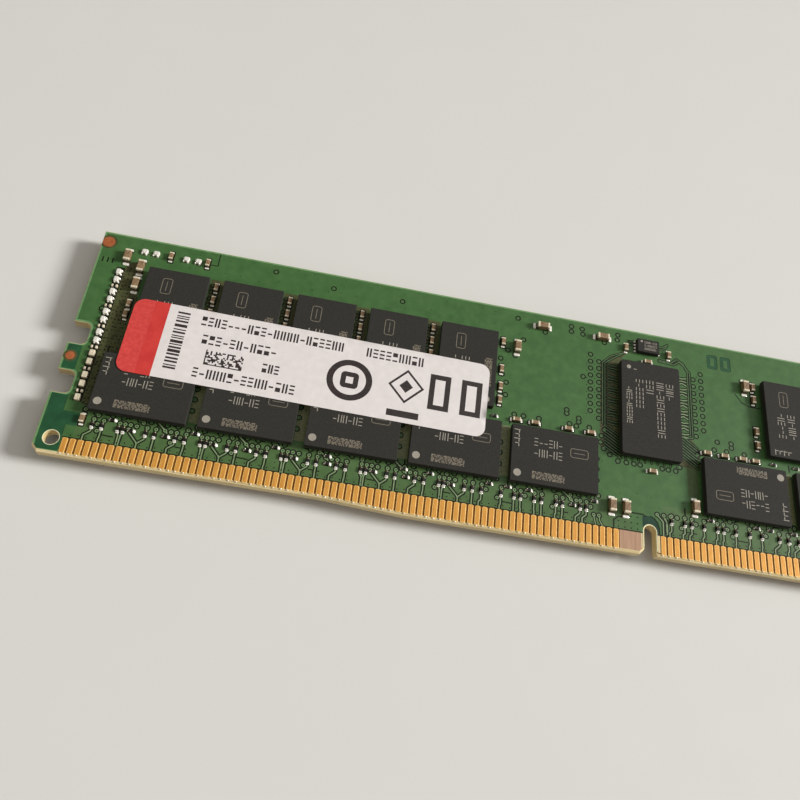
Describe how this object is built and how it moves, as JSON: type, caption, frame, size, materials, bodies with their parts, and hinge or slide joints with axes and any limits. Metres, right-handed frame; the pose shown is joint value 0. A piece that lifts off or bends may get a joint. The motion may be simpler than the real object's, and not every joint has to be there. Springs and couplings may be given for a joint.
{
  "type": "ram module",
  "caption": "Registered desktop-height memory module: notched circuit board with gold edge contacts, memory chips on both sides, register chip, capacitors and a sticker.",
  "frame": {"origin": "centre of the module's outline, on the plane that it rests on with its back chips down", "axes": "+X along the board's length from the labelled end, +Y from the contact edge to the plain top edge, +Z out of the labelled side"},
  "size_m": [0.1334, 0.0312, 0.0039],
  "materials": {
    "laminate": "cut glass-fibre laminate",
    "solder_mask": "semi-gloss green over copper",
    "gold_contact": "satin gold plating",
    "package_mould": "matt moulding compound",
    "label_paper": "smooth coated label",
    "capacitor_ceramic": "fired ceramic",
    "solder": "bright tin solder",
    "bare_copper": "tarnished copper"
  },
  "bodies": {
    "root": {"capacitor_01": "capacitor_ceramic", "capacitor_02": "capacitor_ceramic", "capacitor_03": "capacitor_ceramic", "capacitor_04": "capacitor_ceramic", "capacitor_05": "capacitor_ceramic", "capacitor_06": "capacitor_ceramic", "capacitor_07": "capacitor_ceramic", "capacitor_08": "capacitor_ceramic", "capacitor_09": "capacitor_ceramic", "capacitor_10": "capacitor_ceramic", "capacitor_11": "capacitor_ceramic", "capacitor_12": "capacitor_ceramic", "capacitor_13": "capacitor_ceramic", "capacitor_14": "capacitor_ceramic", "configuration_chip": "package_mould", "contacts_back_left": "gold_contact", "contacts_back_right": "gold_contact", "contacts_front_left": "gold_contact", "contacts_front_right": "gold_contact", "dram_back_01": "package_mould", "dram_back_02": "package_mould", "dram_back_03": "package_mould", "dram_back_04": "package_mould", "dram_back_05": "package_mould", "dram_back_06": "package_mould", "dram_back_07": "package_mould", "dram_back_08": "package_mould", "dram_back_09": "package_mould", "dram_back_10": "package_mould", "dram_back_11": "package_mould", "dram_back_12": "package_mould", "dram_back_13": "package_mould", "dram_back_14": "package_mould", "dram_back_15": "package_mould", "dram_back_16": "package_mould", "dram_back_17": "package_mould", "dram_back_18": "package_mould", "dram_front_01": "package_mould", "dram_front_02": "package_mould", "dram_front_03": "package_mould", "dram_front_04": "package_mould", "dram_front_05": "package_mould", "dram_front_06": "package_mould", "dram_front_07": "package_mould", "dram_front_08": "package_mould", "dram_front_09": "package_mould", "dram_front_10": "package_mould", "dram_front_11": "package_mould", "dram_front_12": "package_mould", "dram_front_13": "package_mould", "dram_front_14": "package_mould", "dram_front_15": "package_mould", "dram_front_16": "package_mould", "dram_front_17": "package_mould", "dram_front_18": "package_mould", "label": "label_paper", "pcb_core": "laminate", "register_chip": "package_mould", "solder_mask_back": "solder_mask", "solder_mask_front": "solder_mask"}
  },
  "joints": []
}
